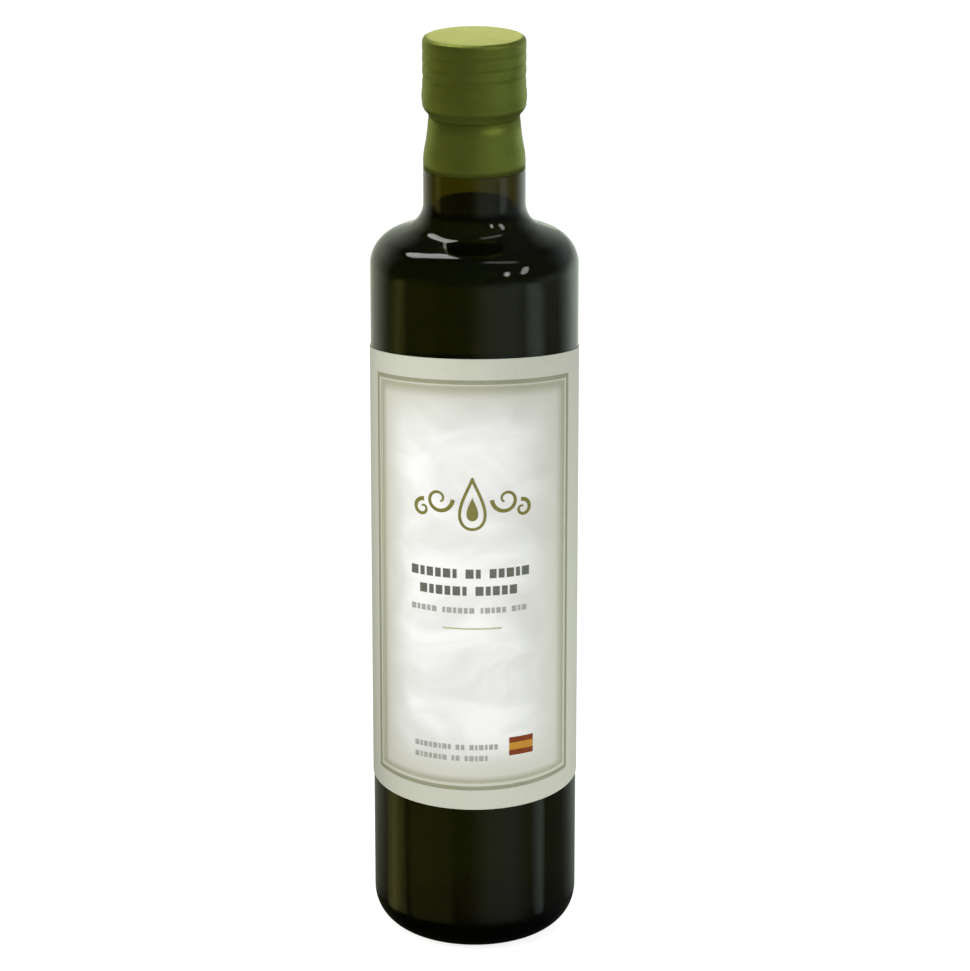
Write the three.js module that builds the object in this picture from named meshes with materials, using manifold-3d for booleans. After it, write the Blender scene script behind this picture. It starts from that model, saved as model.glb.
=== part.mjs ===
// A half-litre olive oil bottle: a tall round bottle of dark green glass, filled with oil up to the foot of the neck,
// shut by a long olive-green closure in two pieces, with a paper label round its front.
//
// Millimetres, +Z up. The origin is the centre of the base, on the surface that the bottle stands on, and the
// middle of the label faces -Y.

import * as THREE from "three";
import { mergeVertices } from "three/addons/utils/BufferGeometryUtils.js";
import Module from "manifold-3d";

const wasm = await Module();
wasm.setup();

// Every round piece has the same number of sides, so that neighbours stay parallel.
const sides = 52;

// Glass body.
const bodyRadius = 31.5;
const wall = 3.5;
const heelRadius = 12;
const ringInnerRadius = 16;
const puntRise = 3.5;
const floorThickness = 6;

// Glass shoulder and neck. The shoulder falls away from the neck at this angle below the horizontal.
const shoulderStart = 214.6;
const shoulderRadius = 9.8;
const shoulderSlope = 22.7;
const neckFillet = 8.7;
const neckRadius = 15.4;

// Closure: the skirt stays on the neck, and the cap above it screws off at the waist.
const closureBottom = 244.4;
const closureTop = 284.4;
const closureWall = 0.6;
const skirtRadius = 15.4;
const waistHeight = 260.2;
const waistRadius = 13.7;
const capRadius = 15.55;
const capEdgeRadius = 1.6;
const capTopWall = 1.2;
const lipHeight = 263;
const beadHeight = 266.4;
const beadRelief = 0.25;
const grooveHeights = [272.3, 276, 279.7];
const grooveWidths = [2.8, 2, 1.8];
const grooveDepths = [0.2, 0.15, 0.13];

// Label: its top and bottom edges are cut as shallow curves, highest and lowest at the front.
const labelBottom = 49.6;
const labelTop = 193.5;
const labelTopFall = 4.6;
const labelBottomLift = 1.8;
const labelHalfAngle = 104;
const labelGap = 0.1;
const labelThickness = 0.2;

// Oil, up to the level seen through the foot of the neck.
const oilLevel = 233;

// Space left between pieces that touch.
const gap = 0.3;

const radians = THREE.MathUtils.degToRad;

// Points (radius, height) along an arc, both ends included. Angle 0 points outwards, and 90 upwards.
function arc(centreRadius, centreHeight, radius, from, to, steps) {
  const points = [];
  for (let i = 0; i <= steps; i++) {
    const angle = radians(from + ((to - from) * i) / steps);
    const out = centreRadius + radius * Math.cos(angle);
    const up = centreHeight + radius * Math.sin(angle);
    points.push(new THREE.Vector2(out, up));
  }
  return points;
}

// Points from the axis out to a rim, over a spherical cap that stands the given rise above the rim.
function dome(rimRadius, rimHeight, rise, steps) {
  const sphere = (rimRadius ** 2 + rise ** 2) / (2 * rise);
  const points = [];
  for (let i = 0; i <= steps; i++) {
    const out = (rimRadius * i) / steps;
    const up = rimHeight + rise - sphere + Math.sqrt(sphere ** 2 - out ** 2);
    points.push(new THREE.Vector2(out, up));
  }
  return points;
}

function point(out, up) {
  return new THREE.Vector2(out, up);
}

// Side of the bottle from heel to neck, at a depth below the outer surface: the same arc centres serve the outside,
// the inside and the oil. The floor is the height at which the heel arc ends. A top that lies below the end of the
// neck's fillet cuts the fillet short.
function sideProfile(depth, floor, top) {
  const turn = 90 - shoulderSlope;
  const heel = heelRadius - depth;
  const shoulder = shoulderRadius - depth;
  const fillet = neckFillet + depth;
  const filletCentre = neckRadius + neckFillet;
  const shoulderCentre = bodyRadius - shoulderRadius;
  const run = filletCentre - shoulderCentre;
  const reach = (shoulderRadius + neckFillet - run * Math.cos(radians(turn))) / Math.sin(radians(turn));
  const filletHeight = shoulderStart + reach;
  const filletCut = THREE.MathUtils.radToDeg(Math.asin(Math.max(0, filletHeight - top) / fillet));
  return [
    ...arc(bodyRadius - heelRadius, floor + heel, heel, -90, 0, 7),
    ...arc(shoulderCentre, shoulderStart, shoulder, 0, turn, 6),
    ...arc(filletCentre, filletHeight, fillet, 180 + turn, 180 + filletCut, 5),
    ...(top > filletHeight ? [point(neckRadius - depth, top)] : []),
  ];
}

// A solid of revolution about Z. Its profile runs anticlockwise round the section, seen with the axis on the left.
function turned(name, profile, material) {
  const geometry = new THREE.LatheGeometry(profile, sides);
  geometry.rotateX(Math.PI / 2);
  const mesh = new THREE.Mesh(geometry, material);
  mesh.name = name;
  return mesh;
}

function solidFrom(geometry) {
  const plain = geometry.clone();
  plain.deleteAttribute("normal");
  plain.deleteAttribute("uv");
  const merged = mergeVertices(plain, 1e-4);
  const vertProperties = merged.attributes.position.array;
  const triVerts = new Uint32Array(merged.index.array);
  return new wasm.Manifold(new wasm.Mesh({ numProp: 3, vertProperties, triVerts }));
}

function geometryFrom(solid) {
  const mesh = solid.getMesh();
  const geometry = new THREE.BufferGeometry();
  geometry.setAttribute("position", new THREE.BufferAttribute(mesh.vertProperties, 3));
  geometry.setIndex(new THREE.BufferAttribute(mesh.triVerts, 1));
  geometry.computeVertexNormals();
  return geometry;
}

// Hollow glass: push-up under the base, ring to stand on, heel, side, shoulder and neck. Above the closure's lower
// edge the glass steps in, so that the closure lies flush with the neck.
function makeBottle() {
  const stepHeight = closureBottom - gap;
  const stepRadius = skirtRadius - closureWall - 0.6;
  const finishRadius = waistRadius - closureWall - gap - 0.1;
  const mouthHeight = closureTop - capTopWall - gap;
  const mouthRadius = 9.5;
  const mouthEdge = 1;
  const outside = [
    ...dome(ringInnerRadius, 0, puntRise, 4),
    ...sideProfile(0, 0, stepHeight),
    point(stepRadius, stepHeight),
    point(stepRadius, stepHeight + 2),
    point(finishRadius, waistHeight - 5),
    point(finishRadius, mouthHeight - mouthEdge),
    point(finishRadius - mouthEdge, mouthHeight),
    point(mouthRadius + mouthEdge, mouthHeight),
    point(mouthRadius, mouthHeight - mouthEdge),
  ];
  const inside = [
    ...dome(bodyRadius - heelRadius, floorThickness, puntRise, 3).slice(0, -1),
    ...sideProfile(wall, floorThickness, waistHeight - 6),
    point(mouthRadius, waistHeight),
  ];
  const glass = new THREE.MeshStandardMaterial({ color: 0x1c1f0c, roughness: 0.06, metalness: 0 });
  return turned("bottle", [...outside, ...inside.reverse()], glass);
}

// Oil: the space inside the glass, up to its level in the neck.
function makeOil() {
  const profile = [
    ...dome(bodyRadius - heelRadius, floorThickness + gap, puntRise, 3).slice(0, -1),
    ...sideProfile(wall + gap, floorThickness + gap, oilLevel),
    point(0, oilLevel),
  ];
  const oil = new THREE.MeshStandardMaterial({ color: 0x6b6410, roughness: 0.1, metalness: 0 });
  return turned("oil", profile, oil);
}

// Skirt of the closure: straight at its lower edge, then a cone up to the waist. Its wall has the same thickness
// all the way.
function makeSkirt() {
  const outer = [
    point(skirtRadius, closureBottom),
    point(skirtRadius - 0.1, closureBottom + 3),
    point(skirtRadius - 0.3, closureBottom + 4.2),
    point(skirtRadius - 0.65, closureBottom + 5.6),
    point(skirtRadius - 0.8, closureBottom + 7),
    point(skirtRadius - 1.1, closureBottom + 10.5),
    point(waistRadius + 0.05, waistHeight - 0.8),
    point(waistRadius, waistHeight - gap),
  ];
  const inner = outer.map((p) => point(p.x - closureWall, p.y)).reverse();
  const metal = new THREE.MeshStandardMaterial({ color: 0x4f5c2c, roughness: 0.5, metalness: 0.3 });
  return turned("closure_skirt", [...outer, ...inner, outer[0]], metal);
}

// Cap: a lip that flares out of the waist, a raised bead, three rolled grooves and a rounded edge to a flat top.
function makeCap() {
  const grooves = grooveHeights.flatMap((height, i) =>
    [-0.5, -0.25, 0, 0.25, 0.5].map((share) => {
      const sink = grooveDepths[i] * Math.cos(share * Math.PI) ** 2;
      return point(capRadius - sink, height + share * grooveWidths[i]);
    }),
  );
  const innerRadius = capRadius - Math.max(...grooveDepths) - closureWall;
  const outer = [
    point(waistRadius, waistHeight),
    point(waistRadius + 0.25, waistHeight + 0.9),
    point(capRadius - 0.65, waistHeight + 1.9),
    point(capRadius - 0.25, lipHeight),
    point(capRadius + beadRelief * 0.7, beadHeight - 1.4),
    point(capRadius + beadRelief, beadHeight),
    point(capRadius + beadRelief * 0.7, beadHeight + 1.2),
    point(capRadius, beadHeight + 2.8),
    ...grooves,
    ...arc(capRadius - capEdgeRadius, closureTop - capEdgeRadius, capEdgeRadius, 0, 90, 3),
    point(0, closureTop),
  ];
  const inner = [
    point(0, closureTop - capTopWall),
    point(innerRadius, closureTop - capTopWall),
    point(innerRadius, lipHeight + 0.6),
    point(waistRadius - closureWall, waistHeight + 1.2),
    point(waistRadius - closureWall, waistHeight),
    outer[0],
  ];
  const metal = new THREE.MeshStandardMaterial({ color: 0x56632f, roughness: 0.5, metalness: 0.3 });
  return turned("cap", [...outer, ...inner], metal);
}

// Label: a thin paper tube cut by an outline drawn from the side. Its slanting top and bottom lines become the
// curved edges of the paper, and its upright back line the two ends.
function makeLabel() {
  const innerRadius = bodyRadius + labelGap;
  const outerRadius = innerRadius + labelThickness;
  const low = labelBottom - 1;
  const high = labelTop + 1;
  const tube = new THREE.LatheGeometry(
    [
      point(outerRadius, low),
      point(outerRadius, high),
      point(innerRadius, high),
      point(innerRadius, low),
      point(outerRadius, low),
    ],
    sides,
  );
  tube.rotateX(Math.PI / 2);
  const front = -outerRadius - 1;
  const back = -outerRadius * Math.cos(radians(labelHalfAngle));
  const topAt = (y) => labelTop - labelTopFall * (1 + y / outerRadius);
  const bottomAt = (y) => labelBottom + labelBottomLift * (1 + y / outerRadius);
  const outline = new THREE.Shape([
    point(front, bottomAt(front)),
    point(back, bottomAt(back)),
    point(back, topAt(back)),
    point(front, topAt(front)),
  ]);
  const width = 2 * outerRadius + 2;
  const cutter = new THREE.ExtrudeGeometry(outline, { depth: width, bevelEnabled: false });
  cutter.translate(0, 0, -width / 2);
  cutter.rotateY(Math.PI / 2);
  cutter.rotateX(Math.PI / 2);
  const paper = new THREE.MeshStandardMaterial({ color: 0xe6e7de, roughness: 0.55, metalness: 0 });
  const mesh = new THREE.Mesh(geometryFrom(solidFrom(tube).intersect(solidFrom(cutter))), paper);
  mesh.name = "label";
  return mesh;
}

const oliveOilBottle = new THREE.Group();
oliveOilBottle.add(makeBottle(), makeOil(), makeSkirt(), makeCap(), makeLabel());

export default oliveOilBottle;
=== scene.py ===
"""A half-litre bottle of olive oil on a pale floor: dark green glass, oil, a two-piece olive-green closure
and a printed paper label. Lengths are in metres, +Z is up, and the middle of the label faces -Y."""

import itertools
import math

import bpy
import numpy as np
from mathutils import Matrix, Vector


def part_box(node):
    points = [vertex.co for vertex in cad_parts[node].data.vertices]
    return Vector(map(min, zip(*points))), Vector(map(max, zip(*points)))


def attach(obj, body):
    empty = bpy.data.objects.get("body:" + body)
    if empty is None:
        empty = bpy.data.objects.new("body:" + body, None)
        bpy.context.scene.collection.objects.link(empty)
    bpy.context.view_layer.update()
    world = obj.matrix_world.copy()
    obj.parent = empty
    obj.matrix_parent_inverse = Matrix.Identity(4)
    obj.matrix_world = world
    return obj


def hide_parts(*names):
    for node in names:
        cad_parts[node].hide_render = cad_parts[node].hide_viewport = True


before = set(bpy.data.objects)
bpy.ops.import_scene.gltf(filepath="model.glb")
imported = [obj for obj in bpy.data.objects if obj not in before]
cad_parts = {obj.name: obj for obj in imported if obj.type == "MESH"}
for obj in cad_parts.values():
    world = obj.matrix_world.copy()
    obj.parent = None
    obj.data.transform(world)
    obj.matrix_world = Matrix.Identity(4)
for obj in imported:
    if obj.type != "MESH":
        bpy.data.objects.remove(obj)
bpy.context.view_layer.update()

# Camera
# It stands in front of the label and a little to its right, and looks down on the bottle. The bottle's axis
# lies a little to the left of the middle of the picture.
mm = 0.001
picture_height_pixels = 971
focal_pixels = 4199
camera_distance = 1289.8 * mm
camera_elevation = math.radians(18)
camera_azimuth = math.radians(1.1)
aim_height = 143.9 * mm
aim_right = 3.2 * mm

camera_data = bpy.data.cameras.new("camera")
camera_data.sensor_width = 36
camera_data.lens = camera_data.sensor_width * focal_pixels / picture_height_pixels
camera_data.clip_end = 50
camera = bpy.data.objects.new("camera", camera_data)
bpy.context.collection.objects.link(camera)
to_right = np.array([math.cos(camera_azimuth), math.sin(camera_azimuth), 0])
to_camera = np.array([
    math.sin(camera_azimuth) * math.cos(camera_elevation),
    -math.cos(camera_azimuth) * math.cos(camera_elevation),
    math.sin(camera_elevation),
])
camera.location = np.array([0, 0, aim_height]) + to_right * aim_right + to_camera * camera_distance
camera.rotation_euler = (math.pi / 2 - camera_elevation, 0, camera_azimuth)
bpy.context.scene.camera = camera
bpy.context.scene.view_settings.view_transform = "Standard"


# Glass bottle
# One piece of blown dark green glass: a push-up under the base, a flat ring to stand on, a round heel, a
# straight side, a sloping shoulder and a neck. Above the closure's lower edge the glass steps in, so that
# metal and neck are flush. Two faint mould seams run up the sides.
bottle_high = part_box("bottle")[1]
cap_low, cap_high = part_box("cap")
body_radius = bottle_high[0]
wall = 3.5 * mm
heel_radius = 12 * mm
ring_inner_radius = 16 * mm
punt_rise = 3.5 * mm
base_thickness = 6 * mm
shoulder_start = 214.6 * mm
shoulder_radius = 9.8 * mm
shoulder_slope = math.radians(22.7)
neck_fillet = 8.7 * mm
neck_radius = 15.4 * mm
finish_radius = 12.7 * mm
mouth_radius = 9.5 * mm
mouth_edge = 1 * mm
skirt_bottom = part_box("closure_skirt")[0][2]
waist_height = cap_low[2]


def arc(centre_radius, centre_height, radius, start, end, steps=24):
    """Points (radius, height) spaced evenly on an arc: centre + radius x (cosine, sine), with angles in
    degrees."""
    angles = np.radians(np.linspace(start, end, steps + 1))
    return np.stack([centre_radius + radius * np.cos(angles), centre_height + radius * np.sin(angles)], 1)


def dome(rim_radius, rim_height, rise, steps=16):
    """Points from the axis to a rim over a spherical cap that stands the given rise above the rim: height =
    rim + rise - sphere + root(sphere^2 - radius^2), where sphere = (rim radius^2 + rise^2) / (2 x rise)."""
    sphere = (rim_radius**2 + rise**2) / (2 * rise)
    radius = np.linspace(0, rim_radius, steps + 1)
    return np.stack([radius, rim_height + rise - sphere + np.sqrt(sphere**2 - radius**2)], 1)


def line(start, end, steps):
    """Evenly spaced points from start to end, without the end."""
    share = np.linspace(0, 1, steps + 1)[:-1, None]
    return np.array(start) + (np.array(end) - np.array(start)) * share


def rounded(corners, setback, steps=5):
    """A line through corners whose bends are eased: near each corner it runs from a point one setback before
    it to one after it, along (1 - t)^2 x before + 2t(1 - t) x corner + t^2 x after. The setback is at most
    half a side, and where two bends meet there, their shared point is kept once."""
    corners = np.array(corners, float)
    setback = np.broadcast_to(setback, len(corners))
    share = np.linspace(0, 1, steps + 1)[:, None]
    pieces = [corners[:1]]
    for before, corner, after, back in zip(corners[:-2], corners[1:-1], corners[2:], setback[1:-1]):
        to_before, to_after = before - corner, after - corner
        start = corner + to_before * min(0.5, back / np.linalg.norm(to_before))
        end = corner + to_after * min(0.5, back / np.linalg.norm(to_after))
        pieces.append((1 - share) ** 2 * start + 2 * share * (1 - share) * corner + share**2 * end)
    eased = np.concatenate([*pieces, corners[-1:]])
    point_spacing = np.linalg.norm(np.diff(eased, axis=0), axis=1)
    same_point = 1e-4 * mm
    return eased[np.append(True, point_spacing > same_point)]


def bottle_side(depth, floor, top):
    """Heel, side, shoulder, slope and neck at a depth below the outer surface. All arcs keep their centres
    and change only in radius, so the wall has one thickness. The slope is the common tangent of two arcs."""
    turn = math.pi / 2 - shoulder_slope
    heel = heel_radius - depth
    fillet_centre = neck_radius + neck_fillet
    shoulder_centre = body_radius - shoulder_radius
    run = fillet_centre - shoulder_centre
    reach = (shoulder_radius + neck_fillet - run * math.cos(turn)) / math.sin(turn)
    turn = math.degrees(turn)
    heel_arc = arc(body_radius - heel_radius, floor + heel, heel, -90, 0)
    shoulder_arc = arc(shoulder_centre, shoulder_start, shoulder_radius - depth, 0, turn)
    fillet_arc = arc(fillet_centre, shoulder_start + reach, neck_fillet + depth, 180 + turn, 180, 16)
    return np.concatenate([
        heel_arc,
        line(heel_arc[-1], shoulder_arc[0], 60)[1:],
        shoulder_arc,
        line(shoulder_arc[-1], fillet_arc[0], 4)[1:],
        fillet_arc,
        line(fillet_arc[-1], (neck_radius - depth, top), 8)[1:],
        [(neck_radius - depth, top)],
    ])


def turned_points(profile, angles, relief=None):
    """Grid of points: each profile point turned to each angle, so that x = radius x sine, y = -radius x
    cosine and z = height. A relief, one value for each grid point, is added to the radius."""
    radius = profile[:, :1] + (0 if relief is None else relief)
    height = np.broadcast_to(profile[:, 1:], (len(profile), len(angles)))
    return np.stack([radius * np.sin(angles), -radius * np.cos(angles), height], 2)


def turned_faces(rows, ring, closed):
    """Faces of a turned grid. Each four-sided face joins two neighbouring points of a ring to the two above
    them. An open profile starts and ends on the axis, where each ring is one point and its faces have three
    sides."""
    across = np.arange(ring)
    following = (across + 1) % ring
    if closed:
        low = np.arange(rows)[:, None] * ring
        high = (np.arange(rows)[:, None] + 1) % rows * ring
        quads = np.stack([low + across, low + following, high + following, high + across], 2)
        return quads.reshape(-1, 4).tolist()
    low = np.arange(rows - 3)[:, None] * ring + 1
    quads = np.stack([low + across, low + following, low + following + ring, low + across + ring], 2)
    last = (rows - 3) * ring + 1
    bottom = np.stack([np.zeros(ring, int), following + 1, across + 1], 1)
    top = np.stack([across + last, following + last, np.full(ring, last + ring)], 1)
    return quads.reshape(-1, 4).tolist() + bottom.tolist() + top.tolist()


def make_piece(name, points, faces, material, smooth=True):
    """Puts points and faces in a new mesh object at the origin, with its material."""
    mesh = bpy.data.meshes.new(name)
    mesh.from_pydata(points.reshape(-1, 3).tolist(), [], faces)
    mesh.polygons.foreach_set("use_smooth", np.full(len(mesh.polygons), smooth))
    mesh.materials.append(material)
    mesh.update()
    piece = bpy.data.objects.new(name, mesh)
    bpy.context.collection.objects.link(piece)
    return piece


def turned_piece(name, profile, angles, material, relief=None):
    """A solid of revolution. Its profile starts and ends on the axis, or ends where it starts, and runs
    anticlockwise round the section seen with the axis on the left, so that faces point out."""
    closed = np.allclose(profile[0], profile[-1])
    if closed:
        profile = profile[:-1]
        points = turned_points(profile, angles, relief).reshape(-1, 3)
    else:
        grid = turned_points(profile, angles, relief)
        points = np.concatenate([grid[0, :1], grid[1:-1].reshape(-1, 3), grid[-1, :1]])
    return make_piece(name, points, turned_faces(len(profile), len(angles), closed), material)


def new_material(name):
    """An empty node material with its output node, and a function that adds a node to it."""
    material = bpy.data.materials.new(name)
    material.use_nodes = True
    tree = material.node_tree
    tree.nodes.clear()
    output = tree.nodes.new("ShaderNodeOutputMaterial")

    def add(kind, links=(), **values):
        node = tree.nodes.new(kind)
        for key, value in values.items():
            if key in node.inputs:
                node.inputs[key].default_value = value
            else:
                setattr(node, key, value)
        for socket, source in dict(links).items():
            tree.links.new(source, node.inputs[socket])
        return node

    return material, tree, output, add


# Above the step the glass is hidden by the closure, up to a mouth just under the cap's top.
step_height = skirt_bottom - 0.05 * mm
step_edge = 0.15 * mm
step_radius = 14.2 * mm
finish_edge = 0.5 * mm
inside_top = waist_height - 6 * mm
mouth_height = bottle_high[2]
hidden_finish = rounded(
    [
        (neck_radius, step_height - 2 * step_edge),
        (neck_radius, step_height),
        (step_radius, step_height),
        (step_radius, step_height + 2 * mm),
        (finish_radius, waist_height - 5 * mm),
        (finish_radius, mouth_height - mouth_edge),
        (finish_radius - mouth_edge, mouth_height),
        (mouth_radius + mouth_edge, mouth_height),
        (mouth_radius, mouth_height - mouth_edge),
        (mouth_radius, waist_height),
        (neck_radius - wall, inside_top),
    ],
    [step_edge] * 2 + [finish_edge] * 9,
)
push_up = dome(ring_inner_radius, 0, punt_rise)
outer_side = bottle_side(0, 0, step_height - 2 * step_edge)
inner_side = bottle_side(wall, base_thickness, inside_top)
inner_floor = dome(body_radius - heel_radius, base_thickness, punt_rise)
glass_profile = np.concatenate([
    push_up, outer_side[:-1], hidden_finish[:-1], inner_side[::-1], inner_floor[::-1][1:],
])

# The seams need a few narrow columns of points among the even ones.
seam_width = 0.35 * mm
seam_height = 0.05 * mm
columns = 192
even_angles = np.linspace(-math.pi, math.pi, columns + 1)[:-1]
seam_steps = np.array([-0.6, -0.3, 0.3, 0.6]) * mm / body_radius
glass_angles = np.unique(np.concatenate([even_angles, seam_steps - math.pi / 2, seam_steps + math.pi / 2]))
seam_distance = np.abs(np.abs(glass_angles) - math.pi / 2) * body_radius
heel_points_without_seam = 20
seam_start = len(push_up) + heel_points_without_seam
seam_end = len(push_up) + len(outer_side) - 1
on_outer_side = np.zeros((len(glass_profile), 1))
on_outer_side[seam_start:seam_end] = 1
seam_relief = seam_height * np.exp(-((seam_distance / seam_width) ** 2)) * on_outer_side

glass, tree, output, add = new_material("dark green glass")
coords = add("ShaderNodeTexCoord")
waves = add("ShaderNodeTexNoise", {"Vector": coords.outputs["Object"]}, Scale=45.0, Detail=2.0)
ripple = add("ShaderNodeBump", {"Height": waves.outputs["Fac"]}, Strength=0.25, Distance=0.1 * mm)
smears = add("ShaderNodeTexNoise", {"Vector": coords.outputs["Object"]}, Scale=160.0, Detail=4.0)
polish = add("ShaderNodeMapRange", {"Value": smears.outputs["Fac"]})
polish.inputs["To Min"].default_value = 0.02
polish.inputs["To Max"].default_value = 0.07
tint = add("ShaderNodeMix", {0: waves.outputs["Fac"]}, data_type="RGBA")
tint.inputs[6].default_value = (0.77, 0.82, 0.50, 1)
tint.inputs[7].default_value = (0.85, 0.885, 0.58, 1)
glass_shader = add(
    "ShaderNodeBsdfPrincipled",
    {
        "Base Color": tint.outputs[2],
        "Roughness": polish.outputs["Result"],
        "Normal": ripple.outputs["Normal"],
    },
    IOR=1.5,
)
glass_shader.inputs["Transmission Weight"].default_value = 1
glass_depth = add("ShaderNodeVolumeAbsorption", Color=(0.671, 0.65, 0.06, 1), Density=1300.0)
tree.links.new(glass_shader.outputs["BSDF"], output.inputs["Surface"])
tree.links.new(glass_depth.outputs["Volume"], output.inputs["Volume"])

glass_bottle = turned_piece("glass_bottle", glass_profile, glass_angles, glass, seam_relief)
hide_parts("bottle")
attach(glass_bottle, "root")


# Olive oil
# It fills the bottle up to a level at the foot of the neck and wets the glass: its edge climbs the wall a
# little. It reaches just into the wall, so that no gap shows between oil and glass.
oil_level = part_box("oil")[1][2]
wetting = 0.2 * mm
meniscus_rise = 0.9 * mm
meniscus_reach = 1.6 * mm
oil_top_radius = neck_radius - wall + wetting
oil_side = bottle_side(wall - wetting, base_thickness - wetting, oil_level + meniscus_rise)
oil_surface_radius = np.linspace(oil_top_radius, 0, 40)[1:]
climb = meniscus_rise * np.exp((oil_surface_radius - oil_top_radius) / meniscus_reach)
oil_surface = np.stack([oil_surface_radius, oil_level + climb], 1)
oil_profile = np.concatenate([
    dome(body_radius - heel_radius, base_thickness - wetting, punt_rise)[:-1], oil_side, oil_surface,
])

oil, tree, output, add = new_material("olive oil")
coords = add("ShaderNodeTexCoord")
cloud = add("ShaderNodeTexNoise", {"Vector": coords.outputs["Object"]}, Scale=30.0, Detail=1.0)
cloud_colour = add("ShaderNodeValToRGB", {"Fac": cloud.outputs["Fac"]})
cloud_colour.color_ramp.elements[0].color = (0.90, 0.88, 0.45, 1)
cloud_colour.color_ramp.elements[1].color = (0.96, 0.94, 0.55, 1)
oil_shader = add(
    "ShaderNodeBsdfPrincipled", {"Base Color": cloud_colour.outputs["Color"]}, Roughness=0.0, IOR=1.47,
)
oil_shader.inputs["Transmission Weight"].default_value = 1
oil_depth = add("ShaderNodeVolumeAbsorption", Color=(0.69, 0.757, 0.34, 1), Density=162.0)
tree.links.new(oil_shader.outputs["BSDF"], output.inputs["Surface"])
tree.links.new(oil_depth.outputs["Volume"], output.inputs["Volume"])

oil_body = turned_piece("oil_body", oil_profile, even_angles, oil)
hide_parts("oil")
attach(oil_body, "root")


# Closure
# Thin aluminium, drawn deep, lacquered olive green with a satin finish and rolled on to the neck. The cap has
# a rounded top edge, three rolled grooves, a raised bead and a lip that turns in to the waist, where small
# bridges join it to the skirt until the bottle is first opened.
closure_wall = 0.6 * mm
cap_top_wall = 1.2 * mm
cap_radius = 15.55 * mm
cap_top = cap_high[2]
cap_edge = 1.6 * mm
cap_dome = 0.12 * mm
waist_radius = 13.7 * mm
skirt_radius = 15.4 * mm
bead_height = 266.4 * mm
bead_relief = 0.25 * mm
bead_half_width = 3.2 * mm
lip_height = 263 * mm
seam_gap = 0.1 * mm
lip_bend = 0.9 * mm
inside_bend = 0.3 * mm
skirt_bend = 2.4 * mm
skirt_bend_steps = 24
groove_heights = np.array([272.3, 276.0, 279.7]) * mm
groove_widths = np.array([2.8, 2.0, 1.8]) * mm
groove_depths = np.array([0.2, 0.15, 0.13]) * mm


def raised_cosine(distance, half_width):
    """One at the middle, falling to nothing at the half width along (1 + cosine) / 2."""
    share = np.clip(np.abs(distance) / half_width, 0, 1)
    return (1 + np.cos(np.pi * share)) / 2


edge_top = cap_top - cap_dome
side_height = np.linspace(lip_height + 0.4 * mm, edge_top - cap_edge, 150)[:-1]
side_radius = cap_radius + bead_relief * raised_cosine(side_height - bead_height, bead_half_width)
for height, width, depth in zip(groove_heights, groove_widths, groove_depths):
    side_radius = side_radius - depth * raised_cosine(side_height - height, width / 2)
lip = rounded(
    [
        (waist_radius, waist_height),
        (waist_radius + 0.25 * mm, waist_height + 0.9 * mm),
        (cap_radius - 0.65 * mm, waist_height + 1.9 * mm),
        (cap_radius - 0.2 * mm, lip_height - 0.1 * mm),
        (side_radius[0], side_height[0]),
    ],
    lip_bend,
)
cap_inner_radius = cap_radius - groove_depths.max() - closure_wall
cap_inside = rounded(
    [
        (0, cap_top - cap_top_wall),
        (cap_inner_radius, cap_top - cap_top_wall),
        (cap_inner_radius, lip_height + 0.6 * mm),
        (waist_radius - closure_wall, waist_height + 1.2 * mm),
        (waist_radius - closure_wall, waist_height),
        (waist_radius, waist_height),
    ],
    inside_bend,
)
top_edge = arc(cap_radius - cap_edge, edge_top - cap_edge, cap_edge, 0, 90, 12)
top_face = dome(cap_radius - cap_edge, edge_top, cap_dome)[::-1][1:]
cap_profile = np.concatenate([
    cap_inside, lip[1:-1], np.stack([side_radius, side_height], 1), top_edge, top_face,
])

lacquer, tree, output, add = new_material("olive lacquer")
coords = add("ShaderNodeTexCoord")
mottle = add("ShaderNodeTexNoise", {"Vector": coords.outputs["Object"]}, Scale=220.0, Detail=3.0)
lacquer_colour = add("ShaderNodeValToRGB", {"Fac": mottle.outputs["Fac"]})
lacquer_colour.color_ramp.elements[0].position = 0.3
lacquer_colour.color_ramp.elements[0].color = (0.29, 0.345, 0.06, 1)
lacquer_colour.color_ramp.elements[1].position = 0.7
lacquer_colour.color_ramp.elements[1].color = (0.33, 0.39, 0.072, 1)
grain = add("ShaderNodeTexNoise", {"Vector": coords.outputs["Object"]}, Scale=2200.0, Detail=2.0)
satin = add("ShaderNodeMapRange", {"Value": grain.outputs["Fac"]})
satin.inputs["To Min"].default_value = 0.42
satin.inputs["To Max"].default_value = 0.52
orange_peel = add("ShaderNodeBump", {"Height": grain.outputs["Fac"]}, Strength=0.12, Distance=0.05 * mm)
lacquer_shader = add(
    "ShaderNodeBsdfPrincipled",
    {
        "Base Color": lacquer_colour.outputs["Color"],
        "Roughness": satin.outputs["Result"],
        "Normal": orange_peel.outputs["Normal"],
    },
    Metallic=0.88,
)
tree.links.new(lacquer_shader.outputs["BSDF"], output.inputs["Surface"])

screw_cap = turned_piece("screw_cap", cap_profile, even_angles, lacquer)
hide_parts("cap")
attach(screw_cap, "root")

# Skirt of the closure: a straight band round the neck that draws in softly to the waist.
skirt_outside = rounded(
    [
        (skirt_radius - 0.05 * mm, skirt_bottom),
        (skirt_radius, skirt_bottom + 3.8 * mm),
        (skirt_radius - 1 * mm, skirt_bottom + 9 * mm),
        (waist_radius, waist_height - seam_gap),
    ],
    skirt_bend,
    skirt_bend_steps,
)
skirt_inside = skirt_outside[::-1] - (closure_wall, 0)
skirt_profile = np.concatenate([skirt_outside, skirt_inside, skirt_outside[:1]])
closure_band = turned_piece("closure_band", skirt_profile, even_angles, lacquer)
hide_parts("closure_skirt")
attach(closure_band, "root")

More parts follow.
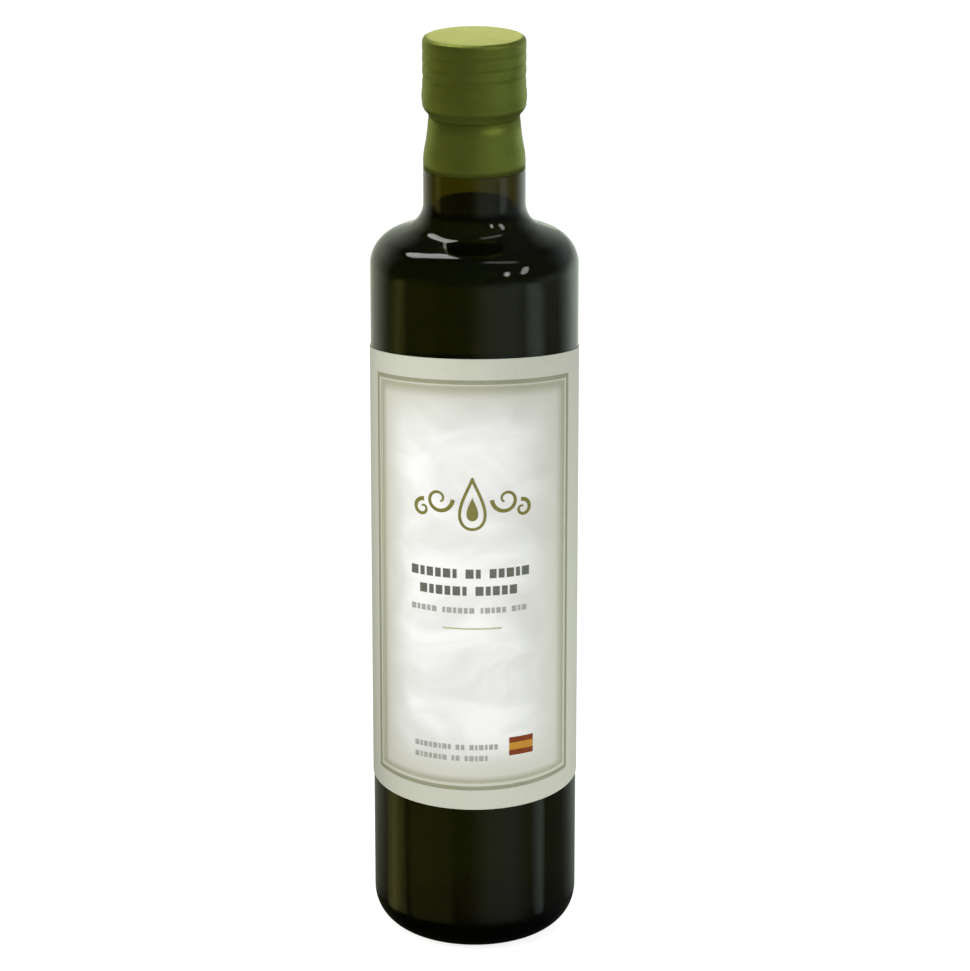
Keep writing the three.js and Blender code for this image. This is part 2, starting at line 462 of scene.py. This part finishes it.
# Bridges: short tabs of the same metal across the cut at the waist.
bridge_count = 12
bridge_width = 1.2 * mm
bridge_inside = waist_radius - 0.45 * mm
bridge_outside = waist_radius - 0.05 * mm
bridge_bottom = waist_height - 0.6 * mm
bridge_top = waist_height + 0.3 * mm
bridge_corner = np.array([
    (bridge_inside, bridge_bottom),
    (bridge_outside, bridge_bottom),
    (bridge_outside, bridge_top),
    (bridge_inside, bridge_top),
])
bridge_middle = (np.arange(bridge_count) + 0.5) * 2 * math.pi / bridge_count
bridge_sides = bridge_middle[:, None] + np.array([-0.5, 0.5]) * bridge_width / waist_radius
bridge_points = turned_points(bridge_corner, bridge_sides.ravel())
bridge_points = bridge_points.reshape(4, bridge_count, 2, 3).transpose(1, 2, 0, 3)
box_faces = np.array([(3, 2, 1, 0), (4, 5, 6, 7), (0, 1, 5, 4), (1, 2, 6, 5), (2, 3, 7, 6), (3, 0, 4, 7)])
bridge_faces = (np.arange(bridge_count)[:, None, None] * 8 + box_faces[:, ::-1]).reshape(-1, 4).tolist()
bridges = make_piece("bridges", bridge_points, bridge_faces, lacquer, smooth=False)
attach(bridges, "root")


# Label
# One sheet of satin paper glued round the front and the sides, with its upper and lower edges cut as shallow
# curves. A white printed panel lies inside a stone-coloured border.
label_low, label_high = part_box("label")
paper_radius = label_high[0]
label_top = label_high[2]
label_bottom = label_low[2]
label_top_fall = 4.6 * mm
label_bottom_lift = 1.8 * mm
label_half_angle = math.radians(104)
panel_half_width = 33 * mm
panel_top_inset = 8.4 * mm
panel_bottom_inset = 8.8 * mm
glue_depth = 0.02 * mm
panel_sink = 0.05 * mm
ink_sink = 0.04 * mm
ink_lift = 0.03 * mm


def top_edge_at(along, inset):
    """Height of the label's upper edge at an arc length from the middle, less an inset: it falls by the given
    amount x (1 - cosine of the angle round the bottle)."""
    return label_top - inset - label_top_fall * (1 - np.cos(along / paper_radius))


def bottom_edge_at(along, inset):
    """Height of the lower edge plus an inset: it rises by its lift x (1 - cosine of the angle)."""
    return label_bottom + inset + label_bottom_lift * (1 - np.cos(along / paper_radius))


def wrapped_plate(first_edge, second_edge, low_radius, high_radius, closed=False):
    """Points and faces of a thin plate bent round the bottle between two edge curves of points (arc, height).
    Each station has four corners, both edges at both radii. With angle = arc / paper radius they lie at
    x = radius x sine, y = -radius x cosine and z = height. An open plate gets a face at each end. Seen from
    outside with the first edge below, the plate runs to the right."""
    edges = np.stack([first_edge, second_edge, second_edge, first_edge], 1)
    radius = np.array([high_radius, high_radius, low_radius, low_radius])
    angle = edges[:, :, 0] / paper_radius
    points = np.stack([radius * np.sin(angle), -radius * np.cos(angle), edges[:, :, 1]], 2)
    stations = len(points)
    here = np.arange(stations if closed else stations - 1)
    there = (here + 1) % stations
    side = np.arange(4)
    beside = (side + 1) % 4
    faces = np.stack([
        here[:, None] * 4 + side,
        there[:, None] * 4 + side,
        there[:, None] * 4 + beside,
        here[:, None] * 4 + beside,
    ], 2).reshape(-1, 4).tolist()
    if not closed:
        last = (stations - 1) * 4
        faces += [[0, 1, 2, 3], [last + 3, last + 2, last + 1, last]]
    return points.reshape(-1, 3), faces


def join_plates(plates):
    """Points and faces of several plates as one mesh, with face numbers counted on from plate to plate."""
    points, faces, count = [], [], 0
    for plate_points, plate_faces in plates:
        points.append(plate_points)
        faces += [[number + count for number in face] for face in plate_faces]
        count += len(plate_points)
    return np.concatenate(points), faces


def level_bar(start, end, bottom, top, step=1 * mm):
    """Edges of a bar between two arc lengths and two heights."""
    along = np.linspace(start, end, max(2, int(abs(end - start) / step) + 1))
    return np.stack([along, np.full_like(along, bottom)], 1), np.stack([along, np.full_like(along, top)], 1)


paper, tree, output, add = new_material("label paper")
coords = add("ShaderNodeTexCoord")
fibre = add("ShaderNodeTexNoise", {"Vector": coords.outputs["Object"]}, Scale=900.0, Detail=4.0)
paper_colour = add("ShaderNodeValToRGB", {"Fac": fibre.outputs["Fac"]})
paper_colour.color_ramp.elements[0].position = 0.25
paper_colour.color_ramp.elements[0].color = (0.52, 0.53, 0.445, 1)
paper_colour.color_ramp.elements[1].position = 0.75
paper_colour.color_ramp.elements[1].color = (0.545, 0.555, 0.47, 1)
paper_tooth = add("ShaderNodeBump", {"Height": fibre.outputs["Fac"]}, Strength=0.08, Distance=0.03 * mm)
paper_shader = add(
    "ShaderNodeBsdfPrincipled",
    {"Base Color": paper_colour.outputs["Color"], "Normal": paper_tooth.outputs["Normal"]},
    Roughness=0.5,
)
tree.links.new(paper_shader.outputs["BSDF"], output.inputs["Surface"])

half_length = paper_radius * label_half_angle
along = np.linspace(-half_length, half_length, 221)
paper_sheet = wrapped_plate(
    np.stack([along, bottom_edge_at(along, 0)], 1),
    np.stack([along, top_edge_at(along, 0)], 1),
    body_radius + glue_depth,
    paper_radius,
)
label_sheet = make_piece("label_sheet", *paper_sheet, paper, smooth=False)
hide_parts("label")
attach(label_sheet, "root")

# Panel: white print with a soft marbled pattern, which fades to the paper's stone colour towards the border,
# and a painted shade darkens its rim. Its UV map is the arc and the height, each from 0 to 1.
panel_ink, tree, output, add = new_material("marbled panel")
panel_place = add("ShaderNodeUVMap")
panel_arc, panel_up, _ = add("ShaderNodeSeparateXYZ", {"Vector": panel_place.outputs["UV"]}).outputs


def fade(place, low_share, high_share):
    """Nothing at both borders of the panel and one inside: the product of smooth steps over the given shares
    of the panel's width or height, 3 t^2 - 2 t^3."""
    steps = []
    for start, end in ((0.0, low_share), (1.0, 1 - high_share)):
        step = add("ShaderNodeMapRange", {"Value": place}, interpolation_type="SMOOTHSTEP")
        step.inputs["From Min"].default_value = start
        step.inputs["From Max"].default_value = end
        steps.append(step.outputs["Result"])
    return add("ShaderNodeMath", {0: steps[0], 1: steps[1]}, operation="MULTIPLY").outputs[0]


sides_fade = fade(panel_arc, 0.22, 0.38)
ends_fade = fade(panel_up, 0.14, 0.12)
whiteness = add("ShaderNodeMath", {0: sides_fade, 1: ends_fade}, operation="MULTIPLY").outputs[0]
slant = add("ShaderNodeMapping", {"Vector": panel_place.outputs["UV"]})
slant.inputs["Rotation"].default_value = (0, 0, math.radians(-38))
slant.inputs["Scale"].default_value = (2.2, 7.0, 1)
veins = add("ShaderNodeTexNoise", {"Vector": slant.outputs["Vector"]}, Scale=1.0, Detail=3.0, Distortion=1.1)
marble = add("ShaderNodeValToRGB", {"Fac": veins.outputs["Fac"]})
marble.color_ramp.elements[0].position = 0.32
marble.color_ramp.elements[0].color = (0.66, 0.665, 0.645, 1)
marble.color_ramp.elements[1].position = 0.6
marble.color_ramp.elements[1].color = (0.81, 0.815, 0.805, 1)
panel_colour = add("ShaderNodeMix", {0: whiteness, 7: marble.outputs["Color"]}, data_type="RGBA")
panel_colour.inputs[6].default_value = (0.55, 0.555, 0.48, 1)
# Painted shade: a dark olive band just inside the panel's rim, as if an embossed edge shaded it.
sides_painted_shade = fade(panel_arc, 0.05, 0.075)
ends_painted_shade = fade(panel_up, 0.02, 0.035)
painted_rim_shade = add("ShaderNodeMath", {0: sides_painted_shade, 1: ends_painted_shade}, operation="MULTIPLY")
painted_shade_colour = add("ShaderNodeMix", {0: painted_rim_shade.outputs[0], 7: panel_colour.outputs[2]}, data_type="RGBA")
painted_shade_colour.inputs[6].default_value = (0.36, 0.36, 0.27, 1)
panel_shader = add("ShaderNodeBsdfPrincipled", {"Base Color": painted_shade_colour.outputs[2]}, Roughness=0.45)
tree.links.new(panel_shader.outputs["BSDF"], output.inputs["Surface"])

along = np.linspace(-panel_half_width, panel_half_width, 81)
panel_plate = wrapped_plate(
    np.stack([along, bottom_edge_at(along, panel_bottom_inset)], 1),
    np.stack([along, top_edge_at(along, panel_top_inset)], 1),
    paper_radius - panel_sink,
    paper_radius + ink_lift,
)
panel = make_piece("panel", *panel_plate, panel_ink, smooth=False)
corner_points = np.empty(len(panel.data.loops), int)
panel.data.loops.foreach_get("vertex_index", corner_points)
point_arc = np.repeat(np.linspace(0, 1, len(along)), 4)
point_up = np.tile([0.0, 1.0, 1.0, 0.0], len(along))
panel_map = panel.data.uv_layers.new(name="arc and height")
panel_map.uv.foreach_set("vector", np.stack([point_arc[corner_points], point_up[corner_points]], 1).ravel())
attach(panel, "root")


# Frame lines
# Two printed lines, a strong olive one outside and a fine lighter one inside, follow the label's edges.
line_centre = -0.4 * mm
outer_line_half_width = 35.1 * mm
outer_line_top_inset = 7.2 * mm
outer_line_bottom_inset = 7 * mm
outer_line_width = 1.3 * mm
inner_line_half_width = 33.2 * mm
inner_line_top_inset = 8.6 * mm
inner_line_bottom_inset = 8.9 * mm
inner_line_width = 0.5 * mm
ink_base_radius = paper_radius - ink_sink
ink_top_radius = paper_radius + 2 * ink_lift


def frame_line(half_width, top_inset, bottom_inset, thickness):
    """Four plates round a frame: along the top and the bottom they follow the label's edges, and at the sides
    they run straight up. The insets are to the middle of the line."""
    half = thickness / 2
    along = line_centre + np.linspace(-half_width - half, half_width + half, 90)
    top, bottom = [
        [np.stack([along, edge_at(along, inset + shift)], 1) for shift in shifts]
        for edge_at, inset, shifts in (
            (top_edge_at, top_inset, (half, -half)),
            (bottom_edge_at, bottom_inset, (-half, half)),
        )
    ]
    sides = [
        level_bar(
            middle - half,
            middle + half,
            bottom_edge_at(middle, bottom_inset),
            top_edge_at(middle, top_inset),
        )
        for middle in (line_centre - half_width, line_centre + half_width)
    ]
    return [wrapped_plate(*edges, ink_base_radius, ink_top_radius) for edges in (top, bottom, *sides)]


def print_ink(name, dark, light, roughness):
    """Printing ink: two close colours mixed by fine noise, as where the paper's grain shows through."""
    ink, tree, output, add = new_material(name)
    coords = add("ShaderNodeTexCoord")
    speck = add("ShaderNodeTexNoise", {"Vector": coords.outputs["Object"]}, Scale=1500.0, Detail=2.0)
    colour = add("ShaderNodeValToRGB", {"Fac": speck.outputs["Fac"]})
    colour.color_ramp.elements[0].position = 0.3
    colour.color_ramp.elements[0].color = (*dark, 1)
    colour.color_ramp.elements[1].position = 0.7
    colour.color_ramp.elements[1].color = (*light, 1)
    shader = add("ShaderNodeBsdfPrincipled", {"Base Color": colour.outputs["Color"]}, Roughness=roughness)
    tree.links.new(shader.outputs["BSDF"], output.inputs["Surface"])
    return ink


olive_ink = print_ink("olive ink", (0.25, 0.255, 0.175), (0.30, 0.305, 0.215), 0.4)
pale_ink = print_ink("pale olive ink", (0.36, 0.37, 0.27), (0.42, 0.43, 0.32), 0.4)
outer_line = frame_line(
    outer_line_half_width, outer_line_top_inset, outer_line_bottom_inset, outer_line_width,
)
outer_frame = make_piece("outer_frame", *join_plates(outer_line), olive_ink, smooth=False)
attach(outer_frame, "root")
inner_line = frame_line(
    inner_line_half_width, inner_line_top_inset, inner_line_bottom_inset, inner_line_width,
)
inner_frame = make_piece("inner_frame", *join_plates(inner_line), pale_ink, smooth=False)
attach(inner_frame, "root")


# Ornament
# In the middle of the panel stands a gold device: an oil drop in outline with a small drop inside, between
# two pairs of scrolls.
ornament_height = 148.3 * mm
drop_height = 16 * mm
drop_width = 9.5 * mm
drop_line_width = 0.9 * mm
inner_drop_height = 7.5 * mm
inner_drop_width = 4.4 * mm
inner_drop_fall = 1.6 * mm


def stroke(path, width, closed=False):
    """Edges of a pen stroke: each point of the path moved to both sides along its normal by half of its
    width. The normal is the path's direction turned by a quarter."""
    if closed:
        direction = np.roll(path, -1, 0) - np.roll(path, 1, 0)
    else:
        direction = np.gradient(path, axis=0)
    direction = direction / np.linalg.norm(direction, axis=1, keepdims=True)
    normal = np.stack([-direction[:, 1], direction[:, 0]], 1)
    offset = normal * np.reshape(width, (-1, 1)) / 2
    return path - offset, path + offset


def drop_outline(width, height, middle, steps=72):
    """A drop: across = 1.15 x half width x sine(t) x sine(t / 2)^1.5, up = half height x cosine(t)."""
    turn = np.linspace(0, 2 * math.pi, steps, endpoint=False)
    across = width / 2 * 1.15 * np.sin(turn) * np.abs(np.sin(turn / 2)) ** 1.5
    return np.stack([-across, middle + height / 2 * np.cos(turn)], 1)


def spiral(start_arc, start_up, size, turns, lean, side, steps=60):
    """A scroll: radius = size x (1 - 0.8 t), angle = lean + turns x 2 pi t, mirrored in the label's middle
    line where side is -1."""
    share = np.linspace(0, 1, steps)
    radius = size * (1 - 0.8 * share)
    angle = lean + turns * 2 * math.pi * share
    return np.stack([side * (start_arc + radius * np.cos(angle)), start_up + radius * np.sin(angle)], 1)


gold_ink = print_ink("gold ink", (0.155, 0.148, 0.032), (0.20, 0.19, 0.045), 0.35)
ink_radii = ink_base_radius, ink_top_radius + ink_lift
outer_drop = stroke(drop_outline(drop_width, drop_height, ornament_height), drop_line_width, True)
gold_plates = [wrapped_plate(*outer_drop, *ink_radii, True)]
inner_drop = drop_outline(inner_drop_width, inner_drop_height, ornament_height - inner_drop_fall)
half_drop = inner_drop[1 : len(inner_drop) // 2]
gold_plates.append(wrapped_plate(half_drop, half_drop * (-1, 1), *ink_radii))
for side in (-1, 1):
    for start_arc, start_up, size, turns, lean in (
        (10.3 * mm, ornament_height + 1.2 * mm, 4.4 * mm, 1.15, math.pi),
        (15.6 * mm, ornament_height - 2.2 * mm, 2.9 * mm, -1.1, math.radians(100)),
    ):
        path = spiral(start_arc, start_up, size, turns, lean, side)
        width = np.linspace(1.3, 0.55, len(path)) * mm
        gold_plates.append(wrapped_plate(*stroke(path, width), *ink_radii))
ornament = make_piece("ornament", *join_plates(gold_plates), gold_ink, smooth=False)
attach(ornament, "root")


# Printed rows
# Rows of small plain blocks in two greys, and a fine gold rule between the upper and the lower ones.
dark_grey_ink = print_ink("dark grey ink", (0.10, 0.107, 0.088), (0.14, 0.147, 0.122), 0.45)
grey_ink = print_ink("grey ink", (0.30, 0.31, 0.28), (0.37, 0.38, 0.35), 0.45)


def block_row(start, bottom, height, block, gap, groups, group_gap):
    """Plates for one row: each group is a run of blocks with a small gap, and groups stand further apart. The
    widths of the blocks take turns, as the given width x 1.15, 0.7, 1, 0.85, 1.1 and 0.6."""
    plates = []
    shares = itertools.cycle((1.15, 0.7, 1, 0.85, 1.1, 0.6))
    for count in groups:
        for width in itertools.islice(shares, count):
            end = start + block * width
            plates.append(wrapped_plate(*level_bar(start, end, bottom, bottom + height), *ink_radii))
            start = end + gap
        start += group_gap
    return plates


# Each row has its left end, lower edge and height, a block's width, the gap between blocks, the number of
# blocks in each group and the gap between groups.
dark_rows = (
    block_row(-19.6 * mm, 124.7 * mm, 2.9 * mm, 2.1 * mm, 0.7 * mm, (6, 2, 5), 2 * mm)
    + block_row(-16.6 * mm, 119.2 * mm, 2.9 * mm, 2.1 * mm, 0.7 * mm, (6, 5), 2 * mm)
)
dark_blocks = make_piece("dark_rows", *join_plates(dark_rows), dark_grey_ink, smooth=False)
grey_rows = (
    block_row(-19.6 * mm, 113.5 * mm, 1.8 * mm, 1.35 * mm, 0.5 * mm, (5, 6, 5, 3), 1.4 * mm)
    + block_row(-18.6 * mm, 69.2 * mm, 1.7 * mm, 1.2 * mm, 0.45 * mm, (8, 2, 6), 1.1 * mm)
    + block_row(-18.6 * mm, 65.6 * mm, 1.7 * mm, 1.2 * mm, 0.45 * mm, (7, 2, 5), 1.1 * mm)
)
grey_blocks = make_piece("grey_rows", *join_plates(grey_rows), grey_ink, smooth=False)
rule_start = -9.2 * mm
rule_end = 9.0 * mm
rule_bottom = 108.35 * mm
rule_top = 108.85 * mm
rule_plate = wrapped_plate(*level_bar(rule_start, rule_end, rule_bottom, rule_top), *ink_radii)
pale_gold_ink = print_ink("pale gold ink", (0.42, 0.41, 0.24), (0.48, 0.47, 0.29), 0.35)
gold_rule = make_piece("gold_rule", *rule_plate, pale_gold_ink, smooth=False)
for row in (dark_blocks, grey_blocks, gold_rule):
    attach(row, "root")


# Flag
# A small flag of three plain level bands, red, gold and red, near the label's lower right corner.
flag_start = 11.4 * mm
flag_end = 19.5 * mm
flag_bottom = 66.8 * mm
flag_height = 5.9 * mm
red_ink = print_ink("red ink", (0.165, 0.034, 0.008), (0.205, 0.046, 0.012), 0.4)
yellow_ink = print_ink("yellow ink", (0.42, 0.21, 0.025), (0.48, 0.25, 0.035), 0.4)
for name, low_share, high_share, ink in (
    ("flag_band_low", 0, 0.3, red_ink),
    ("flag_band_middle", 0.3, 0.7, yellow_ink),
    ("flag_band_high", 0.7, 1, red_ink),
):
    band_bottom = flag_bottom + flag_height * low_share
    band_top = flag_bottom + flag_height * high_share
    edges = level_bar(flag_start, flag_end, band_bottom, band_top)
    band = make_piece(name, *wrapped_plate(*edges, *ink_radii), ink, smooth=False)
    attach(band, "root")


# Floor
# A wide pale floor that fills the picture. It glows like a light table, so the bottle's shadow on it stays
# faint. It isn't mirrored in the glass and throws no light back on the bottle, which would turn it pale.
floor_size = 12
floor_mesh = bpy.data.meshes.new("floor")
corner = floor_size / 2
floor_drop = -0.02 * mm
floor_corners = [
    (-corner, -corner, floor_drop),
    (corner, -corner, floor_drop),
    (corner, corner, floor_drop),
    (-corner, corner, floor_drop),
]
floor_mesh.from_pydata(floor_corners, [], [(0, 1, 2, 3)])
pale_floor, tree, output, add = new_material("pale floor")
floor_shader = add("ShaderNodeBsdfPrincipled", Roughness=1.0)
floor_shader.inputs["Base Color"].default_value = (0.4, 0.4, 0.4, 1)
floor_shader.inputs["Specular IOR Level"].default_value = 0
floor_shader.inputs["Emission Color"].default_value = (1, 1, 1, 1)
floor_shader.inputs["Emission Strength"].default_value = 0.82
tree.links.new(floor_shader.outputs["BSDF"], output.inputs["Surface"])
floor_mesh.materials.append(pale_floor)
floor = bpy.data.objects.new("floor", floor_mesh)
bpy.context.collection.objects.link(floor)
floor.visible_glossy = False
floor.visible_transmission = False
floor.visible_diffuse = False


# Studio light
# A soft ceiling and three soft boxes light the dull surfaces. What the glass and the lacquer mirror is a dim
# room, warm on the left and cool on the right, with pale walls behind the bottle and a few windows and lamps.
# Azimuth counts from the front to the right, so 180 degrees is straight behind.
world = bpy.data.worlds.new("studio")
bpy.context.scene.world = world
world.use_nodes = True
world.cycles.sampling_method = "NONE"
sky = world.node_tree
sky.nodes.clear()


def sky_node(kind, links=(), **values):
    """Adds a node to the studio's light, sets its values and links its sockets by number or name."""
    node = sky.nodes.new(kind)
    for key, value in values.items():
        if key in node.inputs:
            node.inputs[key].default_value = value
        else:
            setattr(node, key, value)
    for socket, source in dict(links).items():
        if isinstance(source, bpy.types.NodeSocket):
            sky.links.new(source, node.inputs[socket])
        else:
            node.inputs[socket].default_value = source
    return node


def calc(operation, *terms, clamp=False):
    """One sum in the studio's light: a Math node on numbers or sockets."""
    return sky_node("ShaderNodeMath", dict(enumerate(terms)), operation=operation, use_clamp=clamp).outputs[0]


def vector_calc(operation, links, result="Vector"):
    """The same for directions and colours: a Vector Math node."""
    return sky_node("ShaderNodeVectorMath", links, operation=operation).outputs[result]


def direction_to(azimuth_degrees, elevation_degrees):
    """Unit vector (sine az x cosine el, -cosine az x cosine el, sine el)."""
    az, el = math.radians(azimuth_degrees), math.radians(elevation_degrees)
    return np.array([math.sin(az) * math.cos(el), -math.cos(az) * math.cos(el), math.sin(el)])


direction = sky_node("ShaderNodeTexCoord").outputs["Generated"]
across, forward, upward = sky_node("ShaderNodeSeparateXYZ", {"Vector": direction}).outputs
azimuth = calc("ARCTAN2", across, calc("MULTIPLY", forward, -1))
turned_away = calc("ABSOLUTE", azimuth)
elevation = calc("ARCSINE", upward)


def ramp(angle, start, end):
    """Nothing before the start angle, one past the end, straight between: (angle - start) / (end - start)."""
    share = calc("SUBTRACT", angle, math.radians(start))
    return calc("DIVIDE", share, math.radians(end - start), clamp=True)


def patch(angle, at_azimuth, at_elevation, half_width, half_height, soft):
    """One in a patch of the sky and nothing outside, with soft edges: the product, for azimuth and elevation,
    of (half size - distance) / softness, held between 0 and 1. Angles in degrees."""
    spans = []
    for value, middle, half in ((angle, at_azimuth, half_width), (elevation, at_elevation, half_height)):
        distance = calc("ABSOLUTE", calc("SUBTRACT", value, math.radians(middle)))
        span = calc("SUBTRACT", math.radians(half), distance)
        spans.append(calc("DIVIDE", span, math.radians(soft), clamp=True))
    return calc("MULTIPLY", *spans)


def strip(start, end, half_width, soft):
    """One in a strip of the sky along the straight line between two directions and nothing outside: (half
    width - distance) / softness, held between 0 and 1. The distance runs to start + share x span, where span
    = end - start and share = (direction - start) . span / span . span, held between 0 and 1. Widths in
    degrees."""
    start_direction = direction_to(*start)
    span = direction_to(*end) - start_direction
    from_start = vector_calc("SUBTRACT", {0: direction, 1: start_direction})
    along = vector_calc("DOT_PRODUCT", {0: from_start, 1: span}, "Value")
    share = calc("DIVIDE", along, float(span @ span), clamp=True)
    nearest = vector_calc("SCALE", {0: span, "Scale": share})
    away = vector_calc("DISTANCE", {0: from_start, 1: nearest}, "Value")
    return calc("DIVIDE", calc("SUBTRACT", math.radians(half_width), away), math.radians(soft), clamp=True)


def total(*terms):
    """The sum of all terms."""
    level = terms[0]
    for term in terms[1:]:
        level = calc("ADD", level, term)
    return level


def tinted(level, low_colour, high_colour, share):
    """A level of light as a colour, mixed from one tint on the left to another on the right."""
    mix = sky_node("ShaderNodeMix", {0: share}, data_type="RGBA")
    mix.inputs[6].default_value = (*low_colour, 1)
    mix.inputs[7].default_value = (*high_colour, 1)
    return vector_calc("SCALE", {0: mix.outputs[2], "Scale": level})


rightness = calc("MULTIPLY_ADD", across, 0.8, 0.5, clamp=True)

# Light on dull surfaces: a weak ceiling, a weaker even light that is dimmest from below, and three soft boxes
# that stand close by and that nothing mirrors.
ceiling_light = calc("POWER", calc("MAXIMUM", upward, 0.0), 2.0)
even_light = calc("MULTIPLY_ADD", ramp(elevation, -70, -10), 0.12, 0.06)
dull_light = tinted(total(ceiling_light, even_light), (1, 1, 1), (1, 1, 1), rightness)
soft_box_size = 160 * mm
soft_box_target = np.array([0, 0, 120 * mm])
for name, place, distance, watts, colour in (
    ("soft_box_right", (79.7, -6.5), 286 * mm, 0.44, (0.97, 1, 0.98)),
    ("soft_box_left", (-46, 12), 280 * mm, 0.50, (1, 0.99, 0.95)),
    ("soft_box_front", (9, -14), 327 * mm, 0.48, (1, 1, 1)),
):
    lamp_data = bpy.data.lights.new(name, "AREA")
    lamp_data.shape = "DISK"
    lamp_data.size = soft_box_size
    lamp_data.energy = watts
    lamp_data.color = colour
    lamp = bpy.data.objects.new(name, lamp_data)
    azimuth_angle, elevation_angle = math.radians(place[0]), math.radians(place[1])
    lamp.location = soft_box_target + direction_to(*place) * distance
    lamp.rotation_euler = (math.pi / 2 - elevation_angle, 0, azimuth_angle)
    lamp.visible_camera = False
    lamp.visible_glossy = False
    lamp.visible_transmission = False
    bpy.context.collection.objects.link(lamp)

# Light that is mirrored: the walls behind, on the right brighter low down than high up, a bright yellow wall
# straight behind, soft streaks down the sides, and the windows and lamps that show in the shoulder.
wall_right = calc("MULTIPLY_ADD", ramp(elevation, -8, 8), -0.6, 0.97)
wall_level = calc("MULTIPLY_ADD", rightness, calc("SUBTRACT", wall_right, 0.66), 0.66)
wall_height = calc("MULTIPLY", ramp(elevation, -25, -14), calc("SUBTRACT", 1, ramp(elevation, 16, 40)))
low_right = calc("MULTIPLY", ramp(elevation, -14, -24), rightness)
wall_start = calc("MULTIPLY_ADD", low_right, -math.radians(18), turned_away)
wall_behind = calc("MULTIPLY", calc("MULTIPLY", ramp(wall_start, 103, 135), wall_level), wall_height)
bright_wall = calc("MULTIPLY", patch(turned_away, 180, 12, 7, 13, 3), 3.0)
room_glow = calc("MULTIPLY_ADD", ramp(elevation, -48, -22), 0.055, 0.01)
side_glow = total(
    0.005,
    calc("MULTIPLY", patch(azimuth, -62, -12, 22, 22, 12), 0.03),
    calc("MULTIPLY", patch(azimuth, 32, -14, 38, 24, 24), 0.27),
    calc("MULTIPLY", patch(azimuth, 88, -6, 24, 14, 10), 0.17),
    calc("MULTIPLY", patch(azimuth, -52, -28, 30, 9, 6), 0.12),
    calc("MULTIPLY", strip((-86, -12), (-113, -26), 8, 7), 0.36),
    calc("MULTIPLY", strip((-90, -26), (-104, -26), 7, 5), 0.24),
    calc("MULTIPLY", strip((65, -12), (82, -21), 8, 6), 0.54),
)
lamps = total(
    calc("MULTIPLY", strip((-128, 52), (-147, 66), 9.5, 2), 5.0),
    calc("MULTIPLY", strip((-156, 56), (-159, 59), 2.2, 1.5), 4.5),
    calc("MULTIPLY", strip((167, 63), (169, 64), 4, 3), 2.0),
    calc("MULTIPLY", strip((66, 80), (86, 63), 5, 3), 1.5),
    calc("MULTIPLY", strip((40, 29), (44, 38), 3.5, 2), 7.0),
    calc("MULTIPLY", strip((62, 28), (73, 40), 4.5, 2), 4.5),
)
mirrored = tinted(wall_behind, (0.97, 1, 0.80), (0.88, 1, 0.93), rightness)
for level, low_colour, high_colour in (
    (bright_wall, (1, 0.95, 0.5), (1, 0.95, 0.5)),
    (room_glow, (0.53, 0.56, 0.24), (0.93, 1, 0.88)),
    (side_glow, (1, 0.97, 0.3), (0.84, 1, 0.98)),
    (lamps, (1, 1, 0.97), (1, 1, 0.97)),
):
    term = tinted(level, low_colour, high_colour, rightness)
    mirrored = vector_calc("ADD", {0: mirrored, 1: term})

# Light that comes through the glass from behind fades upwards, so the oil's surface looks dark from above.
dim_middle = calc("MULTIPLY", patch(turned_away, 180, -10, 22, 12, 14), -0.95)
upward_fade = calc("MULTIPLY_ADD", ramp(elevation, -11, -4), -0.94, 1)
light_behind = calc("MULTIPLY", total(1.4, dim_middle), upward_fade)
seen_through = tinted(light_behind, (0.98, 1, 1), (0.98, 1, 1), rightness)

path = sky_node("ShaderNodeLightPath").outputs


def choose(share, otherwise, chosen):
    """The second colour where the share is one, else the first."""
    mix = sky_node("ShaderNodeMix", {0: share}, data_type="RGBA")
    sky.links.new(otherwise, mix.inputs[6])
    sky.links.new(chosen, mix.inputs[7])
    return mix.outputs[2]


light = choose(path["Is Glossy Ray"], dull_light, mirrored)
light = choose(path["Is Transmission Ray"], light, seen_through)
white = sky_node("ShaderNodeRGB").outputs[0]
white.default_value = (1, 1, 1, 1)
light = choose(path["Is Camera Ray"], light, white)
backdrop = sky_node("ShaderNodeBackground", {"Color": light})
sky_node("ShaderNodeOutputWorld", {"Surface": backdrop.outputs["Background"]})
